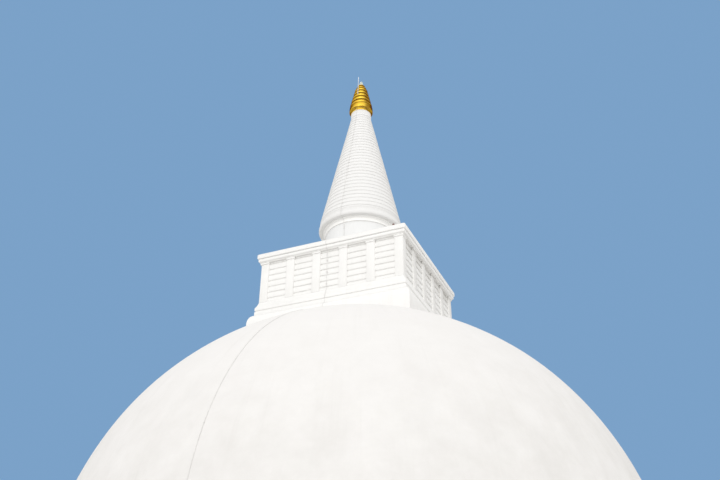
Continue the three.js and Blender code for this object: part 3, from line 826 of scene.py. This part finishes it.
def ringCorners(ringFoot, pitch):
    edge = coneRadiusAt(ringFoot)
    inner = coneRadiusAt(ringFoot + pitch) - cone["ringStep"]
    corners = [(edge - 0.020, ringFoot + 0.001), (edge - 0.005, ringFoot + 0.003), (edge, ringFoot + 0.016)]
    for part in (0.3, 0.55, 0.78, 0.93):
        sag = 0.009 * 4 * part * (1 - part)
        corners.append((edge + (inner - edge) * part ** 1.25 + sag, ringFoot + pitch * part))
    return [*corners, (inner, ringFoot + pitch * 0.995)]


def makeSpire():
    edges = [ringFootAt(ring) for ring in range(cone["rings"] + 1)]
    lowest = [(coneRadiusAt(edges[0] + rise) - back, edges[0] + rise) for back, rise in lowestRing]

    # Dirt at the ring edges; painted shade on the side toward the right
    def ringRule(place, normal):
        nearest = min(abs(place.z - edge) for edge in edges)
        onRight = max(0.0, place.x * 0.8 + place.y * 0.3) / max(0.3, math.hypot(place.x, place.y))
        return min(1.0, near(nearest, 0.014) * 0.2 + onRight * 0.12)

    for seed, (node, (firstRing, endRing)) in enumerate(cone["stages"].items(), 11):
        corners = [(0, edges[firstRing])]
        for ring in range(firstRing, endRing):
            corners += ringCorners(edges[ring], edges[ring + 1] - edges[ring]) if ring else lowest
        corners.append((0, min(edges[endRing], nodeTop(node))))
        roundPiece(node + "_rings", corners, "ring", node, cone["steps"], uneven=(0.004, 0.6, seed),
                   grimeAndShade=ringRule, smoothAngle=50)

    foot, top = nodeHeights("spire_neck")
    radius = nodeReach("spire_neck")
    side = [(radius, foot + (top - foot) * part) for part in (0.3, 0.6, 0.9)]
    corners = [(0, foot), (radius - 0.004, foot), (radius, foot + 0.02), *side, (radius, top), (0, top)]
    roundPiece("spire_neck_collar", corners, "ring", "spire_neck", 96, uneven=(0.003, 0.3, 15),
               grimeAndShade=lambda place, normal: near(top - place.z, 0.2) * 0.4)
    stage("ringed spire")


# Gilded pinnacle and crystal

pinnacle = {
    "steps": 128, "rim": {"radius": 0.52, "height": 0.07}, "cove": {"radius": 0.503, "bulge": -0.12},
    "lip": {"z": 25.87, "radius": 0.589, "height": 0.3, "topRadius": 0.565},
    "rings": {"count": 6, "topZ": 27.6, "shrink": 0.935, "slope": 0.2225, "step": 0.024},
    "narrowing": {"from": 27.33, "slope": 0.22},
}
# How far each corner lies inside the lip's radius and how high above its foot
lipCorners = [(0.004, 0), (0, 0.008), (-0.001, 0.05), (0.003, 0.12), (0.009, 0.19), (0.017, 0.25),
              (0.03, 0.288)]
# A ring's face: part of its height, and how far it swells out in ring steps
ringFace = [(0.08, -0.5), (0.2, 0.15), (0.36, 0.45), (0.55, 0.35), (0.74, -0.1), (0.9, -0.85)]
# Radius and height above the uppermost ring
finialCorners = [(0.168, 0.002), (0.184, 0.008), (0.19, 0.022), (0.186, 0.04), (0.172, 0.056), (0.15, 0.07),
                 (0.122, 0.08), (0.094, 0.085), (0.079, 0.088), (0.084, 0.094)]

# Shares of the crystal's radius and height
crystalShape = [(0, 0), (0.7, 0), (1, 0.36), (0.86, 0.55), (0.45, 0.82), (0, 1)]


def pinnacleRadiusAt(z):
    lip, narrowing = pinnacle["lip"], pinnacle["narrowing"]
    radius = lip["topRadius"] - pinnacle["rings"]["slope"] * (z - lip["z"] - lip["height"])
    return radius - narrowing["slope"] * max(0.0, z - narrowing["from"])


def makePinnacle():
    foot, top = nodeHeights("pinnacle")
    rim, cove, lip, rings = pinnacle["rim"], pinnacle["cove"], pinnacle["lip"], pinnacle["rings"]
    rimHalf, coveFoot = rim["height"] / 2, foot + rim["height"]
    bead = ellipseCorners((rim["radius"] - 0.02, foot + rimHalf), 0.021, rimHalf, -90, 90, 10)
    corners = [(0, foot), *bead]
    corners += arcCorners((cove["radius"], coveFoot + 0.002), (lip["radius"] - 0.012, lip["z"] - 0.002),
                          cove["bulge"], 10)
    corners += [(lip["radius"] - inside, lip["z"] + rise) for inside, rise in lipCorners]
    edges = [ringStart(lip["z"] + lip["height"], rings["topZ"], ring, rings["count"], rings["shrink"])
             for ring in range(rings["count"] + 1)]
    for ringFoot, ringTop in zip(edges, edges[1:]):
        corners.append((pinnacleRadiusAt(ringFoot) - 0.034, ringFoot + 0.003))
        for part, swell in ringFace:
            z = ringFoot + (ringTop - ringFoot) * part
            corners.append((pinnacleRadiusAt(z) + swell * rings["step"], z))
    crown = edges[-1]
    corners += [(radius, crown + rise) for radius, rise in finialCorners]
    corners += [(0.084, top - 0.005), (0.078, top), (0, top)]

    # Darker in the ring grooves; painted shade in the cove under the lip and on the side toward the right
    def rule(place, normal):
        nearest = min(abs(place.z - edge) for edge in edges)
        groove = near(nearest, 0.05) ** 0.7 * (0.5 if place.z < crown + 0.004 else 0.0)
        inCove = 0.9 if coveFoot + 0.01 < place.z < lip["z"] + 0.004 else 0.0
        onRight = place.dot(rightward) / max(0.1, pinnacleRadiusAt(place.z))
        return max(groove, inCove) + min(1.0, max(0.0, (onRight - 0.2) / 0.3))

    roundPiece("pinnacle_gilded", corners, "gilding", "pinnacle", pinnacle["steps"],
               uneven=(0.003, 0.25, 21), grimeAndShade=rule, smoothAngle=50)

    foot, top = nodeHeights("crystal")
    radius, height = nodeReach("crystal"), top - foot
    bm = bmesh.new()
    profileWire(bm, [(radius * part, foot + height * rise) for part, rise in crystalShape])
    spinWire(bm, 9)
    bevel(bm, bm.edges[:], 0.003, 1)
    finishPiece("crystal_bud", bm, "crystal", "crystal", smoothAngle=20)
    stage("pinnacle and crystal")


# Lightning rod and its clamps

rod = {
    "foot": Vector((0.016, -0.461, 26.76)), "tip": Vector((-0.075, -0.172, 28.268)), "radius": 0.014,
    "clamps": {"rod_clamp_lower": 0.08, "rod_clamp_upper": 0.4},
    "strap": [(0.001, -0.018), (0.006, -0.018), (0.008, -0.016), (0.008, 0.016), (0.006, 0.018),
              (0.001, 0.018)],
}


def makeRod():
    line = rod["tip"] - rod["foot"]
    length, radius = line.length, rod["radius"]
    lean = line.to_track_quat("Z", "Y").to_matrix().to_4x4()
    couplings = [(0, 0.5), (0.006, 0.506), (0.006, 0.556), (0, 0.562), (0, length - 0.15),
                 (0.004, length - 0.145), (0.004, length - 0.125)]
    shaft = [(radius + out, z) for out, z in couplings]
    bm = bmesh.new()
    profileWire(bm, [(0, 0), (radius * 0.7, 0), (radius, 0.006), *shaft, (radius * 0.6, length - 0.118),
                     (0, length)])
    spinWire(bm, 16)
    moveAll(bm, Matrix.Translation(rod["foot"]) @ lean)
    finishPiece("rod_with_couplings", bm, "galvanised", "lightning_rod")

    for node, part in rod["clamps"].items():
        point = rod["foot"] + line * part
        reach = math.hypot(point.x, point.y)
        bm = bmesh.new()
        profileWire(bm, [(radius + out, z) for out, z in rod["strap"]])
        spinWire(bm, 20)
        moveAll(bm, Matrix.Translation((0, -reach, 0)) @ lean)
        blockIn(bm, (-0.009, -reach + radius + 0.003, -0.014), (0.009, -reach + 0.1, 0.014), 0.002)
        for side in (-0.012, 0.012):
            boltIn(bm, 0.008, 0.007,
                   Matrix.Translation((side, -reach + 0.028, 0)) @ Matrix.Rotation(math.pi / 2, 4, "Y"))
        moveAll(bm, Matrix.Translation((0, 0, point.z)) @ turnedBy(math.atan2(point.x, -point.y)))
        finishPiece(node + "_strap", bm, "galvanised", node)
    stage("rod and clamps")


# Down conductor: a flat strip that follows the masonry from the pinnacle to the ground, with clips

strip = {"width": 0.02, "thickness": 0.008, "standOff": 0.002, "lowerTurn": -1.8, "upperTurn": -4.0,
         "x": -0.109, "clipDepth": 0.01, "shortClipDepth": 0.006, "baseClipZ": 14.04,
         "domeRows": 56, "domeTopRadius": 3.52}


# A clip at a [distance, height] point, along a direction, with legs toward the masonry
def clipIn(bm, point, direction, depth):
    clip = bmesh.new()
    blockIn(clip, (-0.028, -0.016, -depth), (0.028, 0.016, 0.004), 0.002, 1)
    blockIn(clip, (-0.015, -0.016, 0.0), (0.015, 0.016, 0.0145), 0.003, 1)
    for side in (-0.0215, 0.0215):
        boltIn(clip, 0.006, 0.005, Matrix.Translation((side, 0, 0.006)))
    shape = Matrix.Identity(4)
    shape.col[1][:3] = Vector((0, -direction[0], direction[1])).normalized()
    shape.col[2][:3] = Vector((0, -direction[1], -direction[0])).normalized()
    shape.translation = (0, -point[0], point[1])
    moveAll(clip, shape)
    held = meshFrom("clipShape", clip)
    bm.from_mesh(held)
    bpy.data.meshes.remove(held)


# A strip along [distance, height] points in the plane that faces -Y, and its clips
def stripPiece(name, line, clips, place, node):
    def way(first, second):
        return (Vector(second) - Vector(first)).normalized()

    half = strip["width"] / 2
    bm = bmesh.new()
    rings = []
    for index, point in enumerate(line):
        before, after = line[max(index - 1, 0)], line[min(index + 1, len(line) - 1)]
        wayIn = way(point, after) if index == 0 else way(before, point)
        wayOut = wayIn if index == len(line) - 1 else way(point, after)
        normalIn, normalOut = Vector((wayIn.y, -wayIn.x)), Vector((wayOut.y, -wayOut.x))
        mitre = (normalIn + normalOut) / (1 + normalIn.dot(normalOut))
        inner = Vector(point) + mitre * strip["standOff"]
        outer = inner + mitre * strip["thickness"]
        rings.append([bm.verts.new((x, -at.x, at.y))
                      for x, at in ((half, inner), (half, outer), (-half, outer), (-half, inner))])
    for first, second in zip(rings, rings[1:]):
        for side in range(4):
            bm.faces.new((first[side], first[(side + 1) % 4], second[(side + 1) % 4], second[side]))
    bm.faces.new(rings[0])
    bm.faces.new(rings[-1])
    bmesh.ops.recalc_face_normals(bm, faces=bm.faces[:])
    for clip in clips:
        clipIn(bm, *clip)
    moveAll(bm, place)
    finishPiece(name, bm, "paintedStrip", node)


def spireLine():
    foot, top = nodeHeights("drum")
    neckFoot, neckTop = nodeHeights("spire_neck")
    spireFoot, lastRing = nodeFoot("spire_lower"), ringFootAt(cone["rings"] - 1)
    neck = nodeReach("spire_neck") + 0.002
    rim = pinnacle["rim"]["radius"] + 0.003
    bulged = drum["radius"] + 0.006
    line = [(bulged, foot + 0.035), (bulged, top - 0.12), *mouldingCorners(), *rollCorners(-80, 40, 12),
            (coneRadiusAt(spireFoot) + 0.002, spireFoot), (coneRadiusAt(lastRing) + 0.002, lastRing),
            (neck, neckFoot), (neck, neckTop - 0.12), (rim, neckTop + 0.004),
            (rim, neckTop + pinnacle["rim"]["height"] / 2)]
    clips = [((bulged, foot + rise), (0, 1), strip["clipDepth"]) for rise in (0.25, 0.9, 1.55)]
    for ring in range(2, cone["rings"], 4):
        z = ringFootAt(ring) + 0.02
        clips.append(((coneRadiusAt(z) + 0.002, z), (-cone["slope"], 1), strip["clipDepth"]))
    clips.append(((neck, neckTop - 0.16), (0, 1), strip["clipDepth"]))
    return line, clips


def boxLine():
    wallHalf, cornice, rail = box["wallHalf"], box["cornice"], walls["rail"]
    slabHalf, baseHalf = nodeReach("top_slab"), box["shoulder"]["half"]
    slabFoot, slabTop = nodeHeights("top_slab")
    wallTop = nodeTop("rails_front")
    shoulder = shoulderCorners(10)
    plinthHalf = shoulder[0][0]
    line = [(plinthHalf, domeHeightAt(plinthHalf) + 0.035), *shoulder[2:], (baseHalf, box["flareFoot"]),
            (wallHalf, nodeTop("box_base")), (wallHalf, wallTop - 0.038), (cornice["filletHalf"], wallTop),
            *corniceCurve(6), (cornice["half"], slabFoot), (slabHalf, slabFoot), (slabHalf, slabTop),
            (drum["radius"] + 0.035, slabTop)]
    railClipDepth = walls["recess"] - rail["depth"] + 0.004
    clips = [((wallHalf, rail["lowest"] + row * rail["pitch"] + 0.1), (0, 1), railClipDepth)
             for row in (0, 2, 4)]
    clips += [((half, slabTop), (-1, 0), strip["shortClipDepth"]) for half in (2.9, 2.2)]
    clips.append(((baseHalf, strip["baseClipZ"]), (0, 1), strip["shortClipDepth"]))
    return line, clips


# On the dome the strip follows the same unevenness as the dome's own surface
def domeLine(turn):
    plinthReach = nodeReach("base_plinth") - terrace["stripRoom"] + 0.001
    line = [(plinthReach, 0.0), (plinthReach, nodeTop("base_plinth"))]
    for name in terraceNames:
        reach = nodeReach(name) + 0.004
        line += [(reach, z) for z in nodeHeights(name)]
    clips = [((plinthReach, 0.2), (0, 1), strip["shortClipDepth"])]
    offset = noiseOffset(dome["seed"])
    topZ, foot, reach = domeHeightAt(strip["domeTopRadius"]), nodeFoot("dome"), nodeReach("dome")
    rows = strip["domeRows"]
    for row in range(rows + 1):
        z = foot + (topZ - foot) * math.sin(row / rows * math.pi / 2)
        radius = domeRadiusAt(z)
        slope = Vector((radius / reach ** 2, (z - dome["centreZ"]) / dome["rise"] ** 2)).normalized()
        spot = Vector((radius * math.sin(turn), -radius * math.cos(turn), z))
        bulge = max(noise.noise(spot / dome["unevenSize"] + offset) * dome["uneven"], -0.01) + 0.002
        point = (radius + slope.x * bulge, z + slope.y * bulge)
        line.append(point)
        if row % 4 == 2:
            clips.append((point, (-slope.y, slope.x), strip["clipDepth"]))
    return line, clips


def makeConductor():
    upperTurn, lowerTurn = math.radians(strip["upperTurn"]), math.radians(strip["lowerTurn"])
    stripPiece("spire_strip", *spireLine(), turnedBy(upperTurn), "conductor_spire")
    stripPiece("box_strip", *boxLine(), Matrix.Translation((strip["x"], 0, 0)), "conductor_box")
    stripPiece("dome_strip", *domeLine(lowerTurn), turnedBy(lowerTurn), "conductor_dome")
    stage("down conductor")


# Small lamp on the slab: base plate, two cheeks, a hooded housing and a lens

def makeLamp():
    low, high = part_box("slab_lamp")
    halfX, halfY, top = (high.x - low.x) / 2, (high.y - low.y) / 2, high.z - low.z
    bm = bmesh.new()
    blockIn(bm, (-0.034, -0.024, 0), (0.034, 0.024, 0.01), 0.002)
    for side in (-1, 1):
        cheek = side * (halfX - 0.003)
        blockIn(bm, (cheek - 0.003, -0.012, 0.006), (cheek + 0.003, 0.012, 0.056), 0.001, 1)
    blockIn(bm, (-halfX + 0.007, -halfY, 0.018), (halfX - 0.007, halfY - 0.006, top - 0.004), 0.006)
    blockIn(bm, (-halfX + 0.004, -halfY + 0.004, top - 0.01), (halfX - 0.004, halfY, top), 0.002)
    bodyFaces = len(bm.faces)
    blockIn(bm, (-halfX + 0.013, halfY - 0.008, 0.024), (halfX - 0.013, halfY - 0.003, top - 0.014), 0.0015)
    bm.faces.ensure_lookup_table()
    for face in bm.faces[bodyFaces:]:
        face.material_index = 1
    moveAll(bm, Matrix.Translation(((low.x + high.x) / 2, (low.y + high.y) / 2, low.z)))
    finishPiece("slab_lamp_housing", bm, "lamp", "slab_lamp")
    stage("lamp")


# Floor, light and camera

studio = {
    "floor": {"half": 400, "colour": (0.84, 0.835, 0.82, 1), "roughness": 0.9},
    "skyLight": [(0.0, 0.84), (0.25, 0.84), (1.0, 0.97)], "backdrop": (0.2, 0.36, 0.58, 1),
    "lightColour": (1.0, 0.99, 0.972), "lightDistance": 60,
    "lights": {
        "keyLight": {"azimuth": 10, "elevation": 17, "strength": 0.85, "angle": 12},
        "fillLight": {"azimuth": 48, "elevation": 7, "strength": 0.36, "angle": 40},
    },
    "camera": {"azimuth": 23.3179, "distance": 29.1921, "height": 0.7972, "turn": 23.3634, "pitch": 31.0721,
               "roll": 0.2727, "lens": 37.508, "sensor": 36, "farthest": 2000},
}


def makeFloor():
    look = studio["floor"]
    bm = bmesh.new()
    bmesh.ops.create_grid(bm, x_segments=1, y_segments=1, size=look["half"])
    floor = newObject("studioFloor", meshFrom("studioFloor", bm))
    material, tree = newMaterial("floorPaint")
    dressShader(tree, {"Base Color": look["colour"], "Roughness": look["roughness"]})
    floor.data.materials.append(material)


# The sky's light falls on everything; the camera sees a plain blue backdrop in its place
def makeSky():
    world = bpy.data.worlds.new("studioWorld")
    world.use_nodes = True
    tree = world.node_tree
    skyLight = tree.nodes["Background"]
    generated = tree.nodes.new("ShaderNodeTexCoord").outputs["Generated"]
    parts = addNode(tree, "ShaderNodeSeparateXYZ", {0: generated})
    feed(tree, skyLight.inputs["Color"], rampNode(tree, parts.outputs["Z"], studio["skyLight"]))
    backdrop = addNode(tree, "ShaderNodeBackground", {"Color": studio["backdrop"]})
    seen = tree.nodes.new("ShaderNodeLightPath").outputs["Is Camera Ray"]
    either = addNode(tree, "ShaderNodeMixShader", {0: seen, 1: skyLight.outputs[0], 2: backdrop.outputs[0]})
    feed(tree, tree.nodes["World Output"].inputs["Surface"], either.outputs[0])
    bpy.context.scene.world = world


def makeLights():
    for name, look in studio["lights"].items():
        lamp = bpy.data.lights.new(name, "SUN")
        lamp.energy = look["strength"]
        lamp.color = studio["lightColour"]
        lamp.angle = math.radians(look["angle"])
        azimuth, elevation = math.radians(look["azimuth"]), math.radians(look["elevation"])
        toLight = turnedBy(azimuth) @ Vector((0, -math.cos(elevation), math.sin(elevation)))
        held = newObject(name, lamp)
        held.rotation_mode = "QUATERNION"
        held.rotation_quaternion = toLight.to_track_quat("Z", "Y")
        held.location = toLight * studio["lightDistance"]


def makeCamera():
    camera = studio["camera"]
    lens = bpy.data.cameras.new("photoCamera")
    lens.lens = camera["lens"]
    lens.sensor_width = camera["sensor"]
    lens.clip_end = camera["farthest"]
    eye = newObject("photoCamera", lens)
    azimuth, turn, roll = [math.radians(camera[part]) for part in ("azimuth", "turn", "roll")]
    eye.location = turnedBy(azimuth) @ Vector((0, -camera["distance"], camera["height"]))
    pitch = Matrix.Rotation(math.radians(90 + camera["pitch"]), 4, "X")
    eye.rotation_euler = (turnedBy(turn) @ pitch @ turnedBy(roll)).to_euler()
    bpy.context.scene.camera = eye
    bpy.context.scene.view_settings.view_transform = "Standard"


for make in (makeBase, makeDome, makeBox, makeWalls, makeDrum, makeSpire, makePinnacle, makeRod,
             makeConductor, makeLamp, makeFloor, makeSky, makeLights, makeCamera):
    make()
stage("studio")
